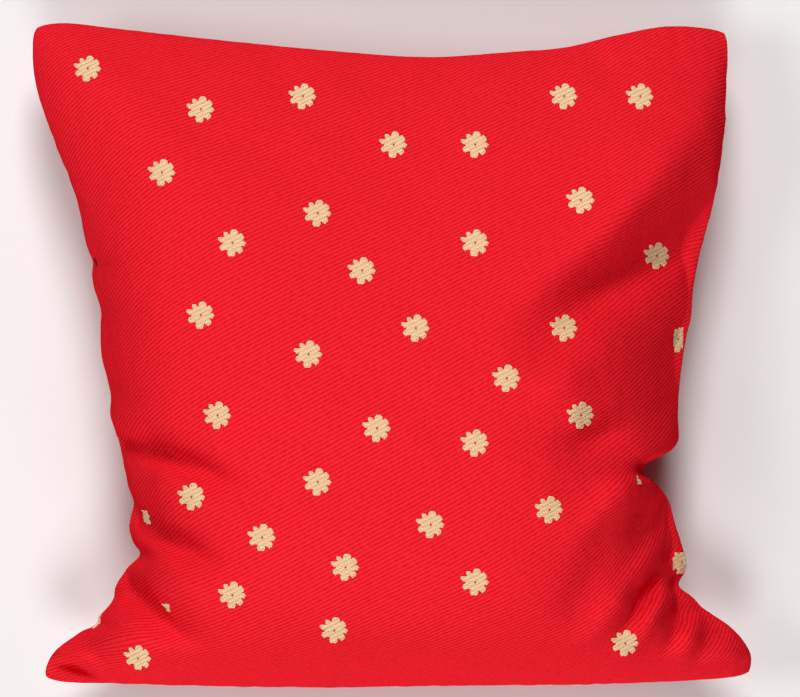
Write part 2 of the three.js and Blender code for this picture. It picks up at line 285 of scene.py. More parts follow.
def fullness(s, t):
    """How full the pillow is, 0 at the seams and 1 at the crown: 1 - aside^left or 1 - aside^right across it,
    to the power 0.74, times 1 - way^lower or 1 - way^upper along it, to the power 0.9. It is bluntest below
    the crown, where the filling has settled."""
    crown_across, crown_level = 0.47, 0.41
    left, right, lower, upper = 4.5, 4, 5, 2
    aside = np.where(s < crown_across, 1 - s / crown_across, (s - crown_across) / (1 - crown_across))
    way = np.where(t < crown_level, 1 - t / crown_level, (t - crown_level) / (1 - crown_level))
    across = np.clip(1 - aside ** np.where(s < crown_across, left, right), 0, 1)
    along_it = np.clip(1 - way ** np.where(t < crown_level, lower, upper), 0, 1)
    return across**0.74 * along_it**0.9


def fold_lift(folds, x, y, steps=14):
    """The sum of the folds at places on a panel. Each is a bell across its curve, exp(-(distance/width)^2),
    and the distance is that to the nearest of the straight steps into which the curve is cut. Along the curve
    it is (1 - share^3)^2, or sin(pi * share)^2 where it fades at both ends."""
    total = np.zeros_like(x)
    q = np.linspace(0, 1, steps + 1)[:, None]
    for fold in folds:
        first, middle, last = (np.array([fold["x" + k], fold["y" + k]]) for k in "012")
        control = 2 * middle - (first + last) / 2
        curve = first * (1 - q) ** 2 + 2 * control * q * (1 - q) + last * q**2
        nearest, share = np.full(x.shape, np.inf), np.zeros(x.shape)
        for k in range(steps):
            step = curve[k + 1] - curve[k]
            dx, dy = x - curve[k, 0], y - curve[k, 1]
            part = np.clip((dx * step[0] + dy * step[1]) / (step @ step), 0, 1)
            distance = np.hypot(dx - part * step[0], dy - part * step[1])
            share = np.where(distance < nearest, (k + part) / steps, share)
            nearest = np.minimum(distance, nearest)
        fade = np.sin(np.pi * share) ** 2 if fold["both"] else (1 - share**3) ** 2
        total += fold["lift"] * fade * np.exp(-((nearest / fold["width"]) ** 2))
    return total


def panel_shapes(count, sizes, finely=False):
    """The face and the back as grids of points in millimetres, before the cloth settles: the outline seen
    from above, the seam's height, and the fullness and folds above and below it. The seam droops with the
    cube of the way to a corner, and a fold grows with the rise as 1 - exp(-rise / FOLD_ROOT)."""
    share = crowded(count)
    s, t = np.meshgrid(share, share)
    x, y = seen_from_above(s, t, sizes)
    seam = sizes.seam_height / MM - CORNER_DROOP * np.abs((2 * s - 1) * (2 * t - 1)) ** 3

    def folded(rise, folds):
        return np.maximum(rise + folds * (1 - np.exp(-rise / FOLD_ROOT)), rise * LEAST_RISE)

    folds = fold_lift(FACE_FOLDS, x, y)
    if finely:
        folds += fold_lift(FACE_CREASES, x, y)
        seam += fold_lift(CORNER_FOLDS, x, y)
    face = seam + folded(sizes.face_rise / MM * fullness(s, t), folds)
    back = seam - folded(sizes.back_drop / MM * fullness(s, t), -fold_lift(BACK_FOLDS, x, y))
    return np.stack([x, y, face], -1), np.stack([x, y, rested(back)], -1)


def rested(height, softness=3.0):
    """Heights over the surface the pillow lies on: none is below 0, and the cloth eases onto it along a
    parabola from softness above to softness below."""
    eased = (height + softness) ** 2 / (4 * softness)
    return np.where(np.abs(height) > softness, np.maximum(height, 0), eased)


def cut_places(points, cut):
    """Where each point of a panel was on the flat cut square: its share of the length of its row and of its
    column of cloth, times the cut size."""
    across = np.linalg.norm(np.diff(points, axis=1), axis=-1)
    up = np.linalg.norm(np.diff(points, axis=0), axis=-1)
    u = np.concatenate([np.zeros((len(points), 1)), np.cumsum(across, axis=1)], axis=1)
    v = np.concatenate([np.zeros((1, len(points))), np.cumsum(up, axis=0)], axis=0)
    return np.stack([u / u[:, -1:] * cut, v / v[-1:] * cut], -1)


def flattened(points, rounds=1500):
    """Where each point of a filled panel lies on its cloth spread flat, in millimetres about its middle. The
    springs along rows, columns and both diagonals are as long as on the pillow and are let go in the plane:
    each round moves a point by the mean pull of its springs and carries on most of its last move."""
    count = len(points)
    first_guess, diagonal, carried, eased = 210.0, 0.35, 0.97, 0.9
    springs, stiffness = [], np.zeros((count, count, 1))
    for down, over, strength in ((0, 1, 1.0), (1, 0, 1.0), (1, 1, diagonal), (1, -1, diagonal)):
        a = slice(0, count - down), slice(max(-over, 0), count - max(over, 0))
        b = slice(down, count), slice(max(over, 0), count - max(-over, 0))
        springs.append((a, b, np.linalg.norm(points[b] - points[a], axis=-1, keepdims=True), strength))
        stiffness[a] += strength
        stiffness[b] += strength
    flat = before = cut_places(points, first_guess) - first_guess / 2
    for _ in range(rounds):
        ahead = flat + carried * (flat - before)
        pull = np.zeros_like(flat)
        for a, b, length, strength in springs:
            apart = ahead[b] - ahead[a]
            excess = strength * (1 - length / np.maximum(np.linalg.norm(apart, axis=-1, keepdims=True), 1e-6))
            pull[a] += excess * apart
            pull[b] -= excess * apart
        flat, before = ahead + eased * pull / stiffness, flat
    flat -= flat.mean(axis=(0, 1))
    # Turned until its middle column points up
    up = flat[-count // 6, count // 2] - flat[count // 6, count // 2]
    up /= np.linalg.norm(up)
    return flat @ np.array([[up[1], up[0]], [-up[0], up[1]]])


def case_numbers(count):
    """Vertex numbers of the face's and the back's grid. The back shares the face's vertices on the seam."""
    face = np.arange((count + 1) ** 2).reshape(count + 1, count + 1)
    back = face.copy()
    back[1:-1, 1:-1] = face.size + np.arange((count - 1) ** 2).reshape(count - 1, count - 1)
    return face, back


def seam_points(count):
    """True for the points of a panel's grid that lie on the seam."""
    return np.pad(np.zeros((count - 1, count - 1), bool), 1, constant_values=True)


def cells(grid, order=(0, 1, 2, 3)):
    """The values of a grid at the four corners of every cell: its own, the next one in its row, the one above
    that and the one above its own, or these in another order."""
    corners = (grid[:-1, :-1], grid[:-1, 1:], grid[1:, 1:], grid[1:, :-1])
    return np.stack([corners[k] for k in order], 2)


def case_corners(face, back):
    """The corners of every cell of the two grids, so that the face looks up and the back looks down."""
    up, down = cells(face), cells(back, order=(3, 2, 1, 0))
    return np.concatenate([corners.reshape(-1, *corners.shape[2:]) for corners in (up, down)])


def case_points(face, back):
    """One list of points from the two grids, in the order of case_numbers."""
    return np.concatenate([face.reshape(-1, face.shape[-1]), back[1:-1, 1:-1].reshape(-1, back.shape[-1])])


def case_grids(points):
    """The two grids again from a list of points in the order of case_numbers."""
    count = round((math.sqrt(2 * len(points) - 1) - 1) / 2)
    face, back = case_numbers(count)
    return points[face], points[back]


def add_piece(name, points, faces, material, smooth=True):
    """A mesh object from points in millimetres and lists of faces, at the origin."""
    mesh = bpy.data.meshes.new(name)
    mesh.from_pydata((points * MM).tolist(), [], faces)
    mesh.materials.append(material)
    mesh.polygons.foreach_set("use_smooth", np.full(len(faces), smooth))
    mesh.update()
    piece = bpy.data.objects.new(name, mesh)
    bpy.context.scene.collection.objects.link(piece)
    return piece


def settle(face, back, sizes):
    """Lets the sewn case settle as cloth and returns the two grids. Its springs remember the flat cut
    squares, so cloth that the filling doesn't stretch buckles, and each point is held softly to its place,
    the seam firmly, so that the folds and the outline stay."""
    count = len(face) - 1
    points, quads = case_points(face, back), case_corners(*case_numbers(count))
    cut = sizes.cut / MM
    flat = case_points(cut_places(face, cut), cut_places(back, cut)) - cut / 2
    mesh = bpy.data.meshes.new("case")
    # The cloth is worked out ten times life size, at which its springs are steady
    scale, frames, held_softly = 10 * MM, 20, 0.35
    mesh.from_pydata((points * scale).tolist(), [], quads.tolist())
    case = bpy.data.objects.new("case", mesh)
    scene = bpy.context.scene
    scene.collection.objects.link(case)
    case.shape_key_add(name="Basis")
    cut_key = case.shape_key_add(name="cut", from_mix=False)
    flat_points = np.concatenate([flat, np.zeros((len(flat), 1))], axis=1) * scale
    cut_key.data.foreach_set("co", flat_points.ravel())

    held = case.vertex_groups.new(name="held")
    seam = case_numbers(count)[0][seam_points(count)]
    inner = np.setdiff1d(np.arange(len(points)), seam)
    held.add(seam.tolist(), 1.0, "REPLACE")
    held.add(inner.tolist(), held_softly, "REPLACE")

    cloth = case.modifiers.new("Cloth", "CLOTH")
    settings = cloth.settings
    settings.quality = 6
    settings.mass = 0.3
    settings.tension_stiffness = settings.compression_stiffness = 20
    settings.shear_stiffness = 8
    settings.bending_stiffness = 0.4
    settings.rest_shape_key = cut_key
    settings.vertex_group_mass = held.name
    settings.pin_stiffness = 0.6
    settings.use_pressure = True
    settings.uniform_pressure_force = 3.0
    settings.effector_weights.gravity = 0
    cloth.collision_settings.use_collision = False
    cloth.point_cache.frame_start, cloth.point_cache.frame_end = 1, frames
    for number in range(1, frames + 1):
        scene.frame_set(number)
    settled = case.evaluated_get(bpy.context.evaluated_depsgraph_get()).data
    after = np.empty(len(points) * 3)
    settled.vertices.foreach_get("co", after)
    scene.frame_set(1)
    bpy.data.objects.remove(case)
    bpy.data.meshes.remove(mesh)
    moved = after.reshape(-1, 3) / scale - points
    # No point moves farther than the limit: its way is limit * tanh(way / limit)
    far = np.linalg.norm(moved, axis=1, keepdims=True) / sizes.settle_limit * MM
    moved *= np.tanh(far) / np.maximum(far, 1e-9)
    return case_grids(points + moved)


def spread(values, count):
    """Values on a grid carried to a finer one over the same span: each fine point takes the cubic through
    its four nearest coarse points (Catmull-Rom), with the rows beyond a seam drawn on in a straight line."""
    coarse = len(values) - 1
    place = np.linspace(0, coarse, count + 1)
    first = np.clip(place.astype(int), 0, coarse - 1)
    t = place - first
    cubic = [-t + 2 * t**2 - t**3, 2 - 5 * t**2 + 3 * t**3, t + 4 * t**2 - 3 * t**3, -(t**2) + t**3]
    weights = np.zeros((count + 1, coarse + 3))
    for k, part in enumerate(cubic):
        weights[np.arange(count + 1), first + k] += part / 2
    weights[:, 1] += 2 * weights[:, 0]
    weights[:, 2] -= weights[:, 0]
    weights[:, -2] += 2 * weights[:, -1]
    weights[:, -3] -= weights[:, -1]
    weights = weights[:, 1:-1]
    return np.einsum("ij,jkc,lk->ilc", weights, values, weights, optimize=True)


def outward(points):
    """Unit normals of a panel's grid, pointing up for the face; the back's are these turned round."""
    normal = np.cross(np.gradient(points, axis=1), np.gradient(points, axis=0))
    return normal / np.maximum(np.linalg.norm(normal, axis=-1, keepdims=True), 1e-9)


def wander(place, shortest, longest, seed, waves=12):
    """A line that wanders about 0: the sum of sine waves with lengths from shortest to longest, each with a
    phase drawn from the seed."""
    random = np.random.default_rng(seed)
    lengths = np.geomspace(shortest, longest, waves)
    phases = random.uniform(0, 2 * np.pi, waves)
    return sum(np.sin(2 * np.pi * place / a + b) for a, b in zip(lengths, phases)) / math.sqrt(waves / 2)


def lumps(u, v, shortest, longest, seed, waves=24):
    """An uneven surface about 0: the sum of plane sine waves in directions and phases drawn from the seed,
    with lengths from shortest to longest."""
    random = np.random.default_rng(seed)
    lengths = np.geomspace(shortest, longest, waves)
    turns = random.uniform(0, 2 * np.pi, waves)
    phases = random.uniform(0, 2 * np.pi, waves)
    total = np.zeros_like(u)
    for length, turn, phase in zip(lengths, turns, phases):
        total += np.sin(2 * np.pi * (u * math.cos(turn) + v * math.sin(turn)) / length + phase)
    return total / math.sqrt(waves / 2)


def finished(points, places, cut, side, seed):
    """A settled panel with the small relief that cloth has. Added along the outward normal are broad and
    small lumps of the filling, and puckers that run in from each edge and die away as exp(-depth / 6)."""
    broad, small, puckered, slant = 0.16, 0.035, 0.16, 0.15
    u, v = places[..., 0], places[..., 1]
    inset = np.stack([u, cut - u, v, cut - v])
    grown = 1 - np.exp(-inset.min(axis=0) / 4)
    relief = broad * lumps(u, v, 16, 40, seed) * grown + small * lumps(u, v, 5, 11, seed + 1) * grown
    for edge, (depth, place) in enumerate(zip(inset, (v, v, u, u))):
        pucker = wander(place + slant * depth, 4.5, 16, seed + 2 + edge)
        relief += puckered * pucker * np.exp(-depth / 6) * (1 - np.exp(-depth / 2))
    shaped = points + side * outward(points) * relief[..., None]
    shaped[..., 2] = np.maximum(shaped[..., 2], 0)
    return shaped


def tucked_seam(face, back, depth=0.75):
    """Draws the seam itself into the case, level with the surface, so that the two panels meet in a groove.
    Each point of the seam moves towards the ring of cloth beside it, which a sewn seam turns inwards."""
    inner = (face[1:-1, 1:-1] + back[1:-1, 1:-1]) / 2
    ring = np.pad(inner, ((1, 1), (1, 1), (0, 0)), mode="edge")
    inwards = ring - face
    inwards[..., 2] = 0
    inwards /= np.maximum(np.linalg.norm(inwards, axis=-1, keepdims=True), 1e-9)
    moved = np.where(seam_points(len(face) - 1)[..., None], inwards * depth, 0)
    return face + moved, back + moved


def measure(name, description, default):
    """A property that is a length in metres."""
    return FloatProperty(name=name, description=description, default=default, unit="LENGTH")


def dye(name, description, colour):
    """A property that is a colour, given as sRGB hex."""
    return FloatVectorProperty(
        name=name, description=description, subtype="COLOR", size=4, default=linear(colour)
    )


class PillowSizes(bpy.types.PropertyGroup):
    """Sizes of the filled pillow."""

    width: measure("Width", "Over the widest corners, filled", 0.196)
    length: measure("Length", "From the upper corners to the lower seam", 0.180)
    seam_height: measure("Seam Height", "Of the seam halfway along a side", 0.031)
    face_rise: measure("Face Rise", "Crown of the face above the seam", 0.042)
    back_drop: measure(
        "Back Drop", "How far the back would hang below the seam with nothing under it", 0.040
    )
    cut: measure("Cut Size", "Side of the square panels before filling", 0.2)
    settle_limit: measure("Settling", "Farthest that the cloth may settle", 0.004)
    rib: measure("Rib", "Distance from one rib of the twill to the next", 0.00105)
    rib_slant: FloatProperty(
        name="Rib Slant",
        description="Angle of the ribs over the lower seam",
        default=math.radians(26),
        subtype="ANGLE",
    )
    pick: measure("Pick", "Distance from one weft thread to the next", 0.000335)
    flower: measure("Flower", "Across a woven flower", 0.0071)
    thread: measure("Thread", "Thickness of the sewing thread", 0.00035)
    cells: IntProperty(name="Cells", description="Cells along each side of a panel", default=216)
    coarse_cells: IntProperty(
        name="Coarse Cells", description="The same while the cloth settles", default=72
    )


class PillowColours(bpy.types.PropertyGroup):
    """Colours of the cloth and the threads."""

    # The paler red of the rib tops is a painted highlight, and the deeper red between the ribs is painted
    # shade
    red: dye("Red", "Top of the ribs", "ec3541")
    groove_shade_red: dye("Deep Red", "Between the ribs", "cb131e")
    gold: dye("Gold", "Threads of the flowers", "f8d6b0")
    # Old gold is the gold under the floats, darkened as painted shade for the ground that shows where the
    # floats part
    shaded_tie_gold: dye("Old Gold", "Under those threads", "e0bc8e")
    navy: dye("Navy", "Sewing thread", "1c2440")


def new_material(name):
    """An empty material and its shader, wired to the output."""
    material = bpy.data.materials.new(name)
    material.use_nodes = True
    tree = material.node_tree
    tree.nodes.clear()
    shader = add_node(tree, "ShaderNodeBsdfPrincipled")
    add_node(tree, "ShaderNodeOutputMaterial", {"Surface": shader.outputs[0]})
    return material, tree, shader


def red_cotton_twill(sizes, colours):
    """Heavy cotton twill, piece dyed. The eye sees low raised ribs, soft and a little uneven, broken along
    their length where the threads cross. Their tops carry a painted highlight, a paler red, and the lines
    between them painted shade, a deeper red. The shader itself is matt, without any shine."""
    material, tree, shader = new_material("red cotton twill")
    slant = sizes.rib_slant
    across_ribs = (-math.sin(slant) / sizes.rib, math.cos(slant) / sizes.rib, 0)
    along_ribs = (math.cos(slant) / sizes.rib, math.sin(slant) / sizes.rib, 0)
    cloth = add_node(tree, "ShaderNodeUVMap", uv_map="cloth").outputs[0]

    def dotted(direction):
        node = add_node(tree, "ShaderNodeVectorMath", {0: cloth, 1: direction}, operation="DOT_PRODUCT")
        return node.outputs["Value"]

    def worked(operation, *values):
        return add_node(tree, "ShaderNodeMath", dict(enumerate(values)), operation=operation).outputs[0]

    def noise(vector, scale, detail):
        values = {"Vector": vector, "Scale": scale, "Detail": detail}
        return add_node(tree, "ShaderNodeTexNoise", values).outputs[0]

    # The ribs wander by a tenth of their width over a few centimetres, as the loom leaves them
    count = worked("MULTIPLY_ADD", noise(cloth, 28, 1), 0.45, dotted(across_ribs))
    length = dotted(along_ribs)
    # Back of a rib: 1 - (2 * share - 1)^2, an arch with a line at its foot
    swing = worked("MULTIPLY_ADD", worked("FRACT", count), 2.0, -1.0)
    arch = worked("SUBTRACT", 1.0, worked("MULTIPLY", swing, swing))
    # Each rib swells and thins along its length, over about its own width
    stretched = worked("MULTIPLY", length, 0.62)
    along_rib = add_node(tree, "ShaderNodeCombineXYZ", {0: count, 1: stretched}).outputs[0]
    slub = noise(along_rib, 1.25, 2)
    fibre = noise(cloth, 4200, 3)
    raised = worked("MULTIPLY_ADD", slub, 1.1, arch)
    tone = worked("MULTIPLY_ADD", fibre, 0.5, raised)
    span = {"Value": tone, "From Min": 0.45, "From Max": 1.75}
    tone = add_node(tree, "ShaderNodeMapRange", span).outputs[0]
    # Painted light: each rib's arch mixes in the paler red as a painted highlight on its top and the deeper
    # red as painted shade at its foot; the slubs and fibres add real unevenness of tone
    reds = {0: tone, 6: tuple(colours.groove_shade_red), 7: tuple(colours.red)}
    mixed = add_node(tree, "ShaderNodeMix", reds, data_type="RGBA")
    height = worked("MULTIPLY_ADD", fibre, 0.35, raised)
    # A rib stands about a tenth of a millimetre above the line between two ribs
    bump = add_node(tree, "ShaderNodeBump", {"Height": height, "Strength": 1.0, "Distance": 0.088 * MM})
    feed(shader, {"Base Color": mixed.outputs[2], "Normal": bump.outputs[0]})
    feed(shader, {"Roughness": 0.6, "Specular IOR Level": 0.0})
    return material


def mercerised_cotton(name, colour, depth):
    """Mercerised cotton thread, softly glossy, with fine fibres along it that catch the light unevenly.
    Between them the colour is depth times as bright."""
    material, tree, shader = new_material(name)
    darker = (*(part * depth for part in colour[:3]), 1)
    place = add_node(tree, "ShaderNodeTexCoord").outputs["Object"]
    stretched = add_node(tree, "ShaderNodeMapping", {"Vector": place, "Scale": (900, 5000, 5000)}).outputs[0]
    fibre = add_node(tree, "ShaderNodeTexNoise", {"Vector": stretched, "Scale": 1.0, "Detail": 2}).outputs[0]
    mixed = add_node(tree, "ShaderNodeMix", {0: fibre, 6: darker, 7: tuple(colour)}, data_type="RGBA")
    bump = add_node(tree, "ShaderNodeBump", {"Height": fibre, "Strength": 0.4, "Distance": 0.05 * MM})
    feed(shader, {"Base Color": mixed.outputs[2], "Normal": bump.outputs[0]})
    feed(shader, {"Roughness": 0.6, "Specular IOR Level": 0.3, "Sheen Weight": 0.1})
    return material


class PILLOW_OT_cover(bpy.types.Operator):
    """Shape the two panels, let the cloth settle over the filling, and sew them into one cover"""

    bl_idname = "pillow.cover"
    bl_label = "Sew the Cover"

    def execute(self, context):
        sizes, colours = context.scene.pillow_sizes, context.scene.pillow_colours
        cut = sizes.cut / MM
        settled = designed = panel_shapes(sizes.coarse_cells, sizes)
        settled = settle(*designed, sizes)
        panels, places = [], []
        shapes = panel_shapes(sizes.cells, sizes, finely=True)
        for side, shape, before, after in zip((1, -1), shapes, designed, settled):
            points = shape + spread(after - before, sizes.cells)
            panels.append(finished(points, cut_places(points, cut), cut, side, seed=20 + side))
            # The back is cut from the same cloth, so its ribs slant the same way when it is seen from behind
            places.append(spread(flattened(after), sizes.cells) * (side, 1))
        # The back takes the face's places on the seam, which the two share
        seam = seam_points(sizes.cells)
        panels[1][seam] = panels[0][seam]
        panels = tucked_seam(*panels)
        quads = case_corners(*case_numbers(sizes.cells))
        cover = add_piece("cover", case_points(*panels), quads.tolist(), red_cotton_twill(sizes, colours))
        cloth = cover.data.uv_layers.new(name="cloth")
        cloth.data.foreach_set("uv", (case_corners(*places) * MM).ravel())
        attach(cover, "root")
        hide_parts("pillow")
        return {"FINISHED"}


def grid_at(grid, place):
    """A grid's value at fractional places (row, column), bilinear within the cell."""
    row = np.clip(place[..., 0], 0, len(grid) - 1.001)
    column = np.clip(place[..., 1], 0, len(grid) - 1.001)
    i, j = row.astype(int), column.astype(int)
    a, b = (row - i)[..., None], (column - j)[..., None]
    lower = grid[i, j] * (1 - b) + grid[i, j + 1] * b
    upper = grid[i + 1, j] * (1 - b) + grid[i + 1, j + 1] * b
    return lower * (1 - a) + upper * a


def laid_on(points, normals, start, offsets, give, rounds=7, least_area=0.02, farthest=4):
    """Places on a panel for offsets in a plane through a flower's middle. The cloth gives a little, so that
    plane is turned from the slope towards the level until the flower is give times as long down the slope.
    Newton's method finds the place whose point, dropped onto the plane, lies at the offset: each round adds
    the miss times the inverse of the grid's slopes, at most the farthest number of cells. The least area
    stands in for a cell's own in the plane where the cloth is too steep."""
    start = np.array(start, float)
    origin, normal = grid_at(points, start), grid_at(normals, start)
    level = min(1.0, give * abs(normal[2]))
    normal[:2] *= math.sqrt(1 - level**2) / max(math.hypot(*normal[:2]), 1e-6)
    normal[2] = math.copysign(level, normal[2])
    right = np.array([1.0, 0.0, 0.0]) - normal * normal[0]
    right /= np.linalg.norm(right)
    axes = np.stack([right, np.cross(normal, right) * np.sign(normal[2])])
    place = np.broadcast_to(start, offsets.shape).copy()
    row_slope, column_slope = np.gradient(points, axis=0), np.gradient(points, axis=1)
    for _ in range(rounds):
        miss = offsets - (grid_at(points, place) - origin) @ axes.T
        a, b = grid_at(row_slope, place) @ axes.T, grid_at(column_slope, place) @ axes.T
        area = a[..., 0] * b[..., 1] - a[..., 1] * b[..., 0]
        area = np.where(np.abs(area) < least_area, np.copysign(least_area, area), area)
        rows = (miss[..., 0] * b[..., 1] - miss[..., 1] * b[..., 0]) / area
        columns = (miss[..., 1] * a[..., 0] - miss[..., 0] * a[..., 1]) / area
        place += np.clip(np.stack([rows, columns], -1), -farthest, farthest)
        place = np.clip(place, 1, len(points) - 2)
    return place


def petal_reach(turn, radius, disc=0.66):
    """How far a flower reaches in a direction: eight petals stand out of a disc that is a share of its
    radius. Each falls off to both sides of its middle as (1 - |away / half_width|^bluntness)^0.75."""
    reach = np.full(turn.shape, disc)
    for petal in PETALS:
        away = (turn - np.radians(petal["turn"]) + np.pi) % (2 * np.pi) - np.pi
        end = np.clip(1 - np.abs(away / np.radians(petal["half_width"])) ** petal["bluntness"], 0, 1) ** 0.75
        reach = np.maximum(reach, disc + (petal["reach"] - disc) * end)
    return radius * reach


def flower_threads(sizes):
    """The gold floats of one flower: start, end and level of each, in millimetres about its middle. Picks of
    weft run across it, and each is tied down where a binding point of the twill crosses it, so every pick is
    cut at places that move on by one warp thread from pick to pick. The middle is left open."""
    radius, pick = sizes.flower / 2 / MM, sizes.pick / MM
    step = pick / math.tan(sizes.rib_slant)
    repeat = sizes.rib / MM / math.sin(sizes.rib_slant)
    farthest, sample = radius * 1.2, 0.04
    tie, first_tie, heart_across, heart_level = 0.16, -0.35 * repeat, 0.26, 0.40
    x = np.arange(-farthest, farthest, sample)
    threads = []
    reach = int(farthest / pick)
    for number in range(-reach, reach + 1):
        y = number * pick
        inside = np.hypot(x, y) < petal_reach(np.arctan2(y, x), radius)
        tied = (x - number * step - first_tie) % repeat < tie
        heart = (x / heart_across) ** 2 + (y / heart_level) ** 2 < 1
        shown = np.concatenate([[0], (inside & ~tied & ~heart).astype(int), [0]])
        starts, ends = np.nonzero(np.diff(shown) == 1)[0], np.nonzero(np.diff(shown) == -1)[0]
        # A float shorter than a fifth of a millimetre would be only a dot
        threads += [(x[a], x[b - 1], y) for a, b in zip(starts, ends) if b - a >= 5]
    return np.array(threads)


UPWARDS = (0, 3, 2, 1)  # order of a cell's corners where the rows of the grid run the other way


def closed_rings(shape):
    """Vertex numbers of a grid whose rows are rings, each closed by its first point."""
    rings = np.arange(shape[0] * shape[1]).reshape(shape)
    return np.concatenate([rings, rings[:, :1]], axis=1)


def float_mesh(threads, pick):
    """Local places (across, level, height) and faces of a flower's floats. A float is a low arch: its height
    falls off with the fourth power of the way along it and the square of the way across it."""
    half_width, narrowed, edge, arch, dip = pick * 0.56, 0.35, 0.10, 0.20, 0.06
    a, c = np.meshgrid(np.linspace(-1, 1, 6), np.linspace(-1, 1, 4), indexing="ij")
    start, end, level = (threads[:, k, None, None] for k in range(3))
    x = (start + end) / 2 + (end - start) / 2 * a
    y = level + half_width * c * (1 - narrowed * a**6)
    height = edge + arch * (1 - a**4) * (1 - c**2) - dip * c**2
    points = np.stack(np.broadcast_arrays(x, y, height), -1).reshape(-1, 3)
    quads = cells(np.arange(a.size).reshape(a.shape), UPWARDS).reshape(-1, 4)
    return points, (quads + (np.arange(len(threads)) * a.size)[:, None, None]).reshape(-1, 4)


def ground_mesh(radius):
    """Local places and faces of the ground under a flower: rings of its petal outline, from the small open
    heart to just inside the petals' ends, where the last ring goes down into the cloth."""
    heart, inside, height, sunk = 0.24, 0.985, 0.13, -0.02
    turns = np.linspace(0, 2 * np.pi, 96, endpoint=False)
    share = np.linspace(0, 1, 7)[:, None]
    reach = heart * (1 - share) + inside * petal_reach(turns, radius) * share
    heights = np.broadcast_to(np.where(share == 1, sunk, height), reach.shape)
    points = np.stack([reach * np.cos(turns), reach * np.sin(turns), heights], -1).reshape(-1, 3)
    return points, cells(closed_rings(reach.shape), UPWARDS).reshape(-1, 4)


def laid_at(panel, side, centre, template, margin, give):
    """A template (across, level, height) laid on a panel at a place seen from above: the nearest point of
    the panel is the start, and the template is shifted by what is left between the two. On the back it is
    mirrored, which turns its faces outwards there too."""
    sizes = bpy.context.scene.pillow_sizes
    normals, cut = outward(panel) * side, sizes.cut / MM
    places = cut_places(panel, cut)
    inset = np.minimum(places, cut - places).min(axis=-1)
    spots = panel[..., :2]
    if side > 0:
        # Seen by the camera, high places look farther out than they are
        eye = np.array(bpy.context.scene.camera.location) / MM
        nearer = (eye[2] - panel[..., 2:]) / (eye[2] - sizes.seam_height / MM)
        spots = eye[:2] + (panel[..., :2] - eye[:2]) / nearer
    near = np.hypot(spots[..., 0] - centre[0], spots[..., 1] - centre[1])
    nearest = np.unravel_index(np.argmin(np.where(inset > margin, near, np.inf)), near.shape)
    place = laid_on(panel, normals, nearest, template[:, :2] * (side, 1) + centre - spots[nearest], give)
    return grid_at(panel, place) + grid_at(normals, place) * template[:, 2:]


def kept_in_sight(points, faces, row):
    """What a fold leaves in sight of a laid flower: the faces whose corners all lie between the row's left
    and right and between its lower and upper, with the points they use."""
    inside = (points[:, 0] > row["left"]) & (points[:, 0] < row["right"])
    inside &= (points[:, 1] > row["lower"]) & (points[:, 1] < row["upper"])
    used, numbers = np.unique(faces[inside[faces].all(axis=1)], return_inverse=True)
    return points[used], numbers.reshape(-1, faces.shape[1])


def cover_panels():
    """The face and the back of the cover, as grids of points in millimetres."""
    cover = bpy.data.objects.get("cover")
    if cover is None:
        raise RuntimeError("sew the cover before anything is laid on it")
    points = np.empty(len(cover.data.vertices) * 3)
    cover.data.vertices.foreach_get("co", points)
    return case_grids(points.reshape(-1, 3) / MM)


def stitch_mesh(length, thickness):
    """Local places and faces of a stitch: a round thread along the x axis whose height over the cloth falls
    off with the fourth power of the way to its ends, which go down into the cloth."""
    round_it = np.linspace(0, 2 * np.pi, 8, endpoint=False)
    a, turn = np.meshgrid(np.linspace(-1, 1, 13), round_it, indexing="ij")
    y, z = thickness / 2 * np.cos(turn), thickness / 2 * np.sin(turn) + thickness * (0.5 - 1.1 * a**4)
    points = np.stack([a * length / 2, y, z], -1).reshape(-1, 3)
    rings = closed_rings(a.shape)
    quads = cells(rings, order=(1, 2, 3, 0)).reshape(-1, 4)
    return points, quads.tolist() + [rings[0, -2::-1].tolist(), rings[-1, :-1].tolist()]


class PILLOW_OT_stitches(bpy.types.Operator):
    """Sew the two stitches that show in the left seam"""

    bl_idname = "pillow.stitches"
    bl_label = "Sew the Stitches"

    def execute(self, context):
        sizes, colours = context.scene.pillow_sizes, context.scene.pillow_colours
        navy = mercerised_cotton("navy sewing cotton", colours.navy, depth=0.6)
        face = cover_panels()[0]
        points, faces = [], []
        for stitch in STITCHES:
            template, ring_faces = stitch_mesh(stitch["length"], sizes.thread / MM)
            c, s = math.cos(math.radians(stitch["turn"])), math.sin(math.radians(stitch["turn"]))
            template[:, :2] = template[:, :2] @ np.array([[c, s], [-s, c]])
            centre = (stitch["across"], stitch["level"])
            first = sum(len(p) for p in points)
            points.append(laid_at(face, 1, centre, template, *SEWN))
            faces += [[first + k for k in ring] for ring in ring_faces]
        piece = add_piece("stitches", np.concatenate(points), faces, navy)
        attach(piece, "root")
        return {"FINISHED"}


